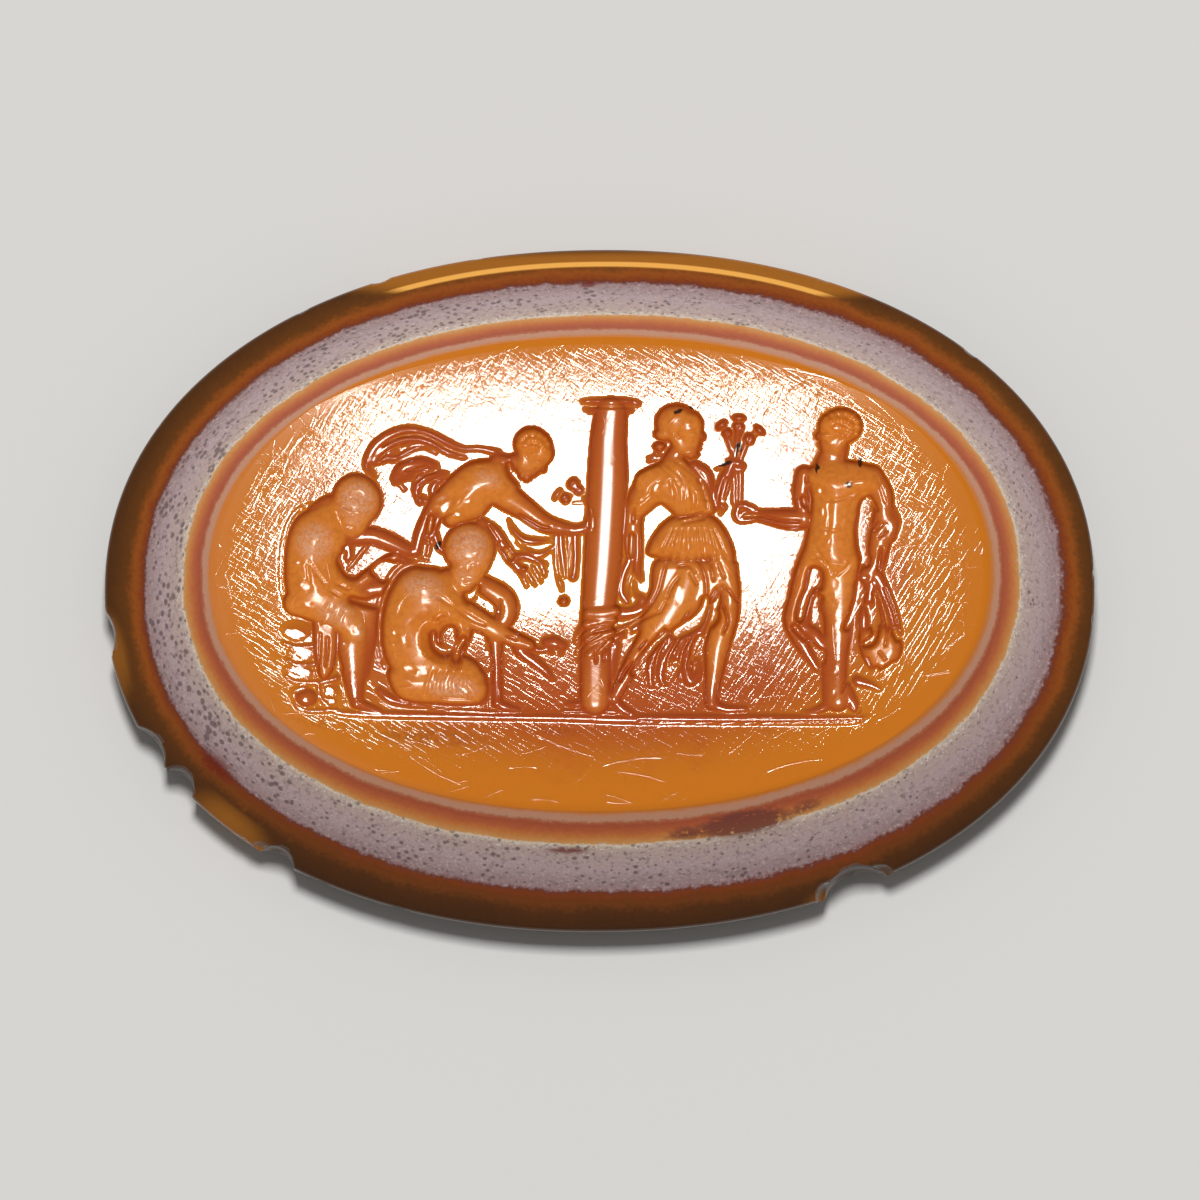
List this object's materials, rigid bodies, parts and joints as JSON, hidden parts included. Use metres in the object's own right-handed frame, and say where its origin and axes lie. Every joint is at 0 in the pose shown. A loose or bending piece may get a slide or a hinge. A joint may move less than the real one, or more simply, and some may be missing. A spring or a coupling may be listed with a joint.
{
  "type": "intaglio gem",
  "caption": "Oval ring stone of banded agate with a bevelled rim, a flat back and an engraved scene of figures round a column.",
  "frame": {"origin": "centre of the oval, on the flat back", "axes": "+X along the length, towards the standing man; +Y towards the figures' heads; +Z out of the engraved face"},
  "size_m": [0.028, 0.0196, 0.005],
  "materials": {
    "gem": "polished banded agate, orange in the middle, with a pale grey band in the bevel and a brown rim"
  },
  "bodies": {
    "root": {"gem": "gem"}
  },
  "joints": []
}
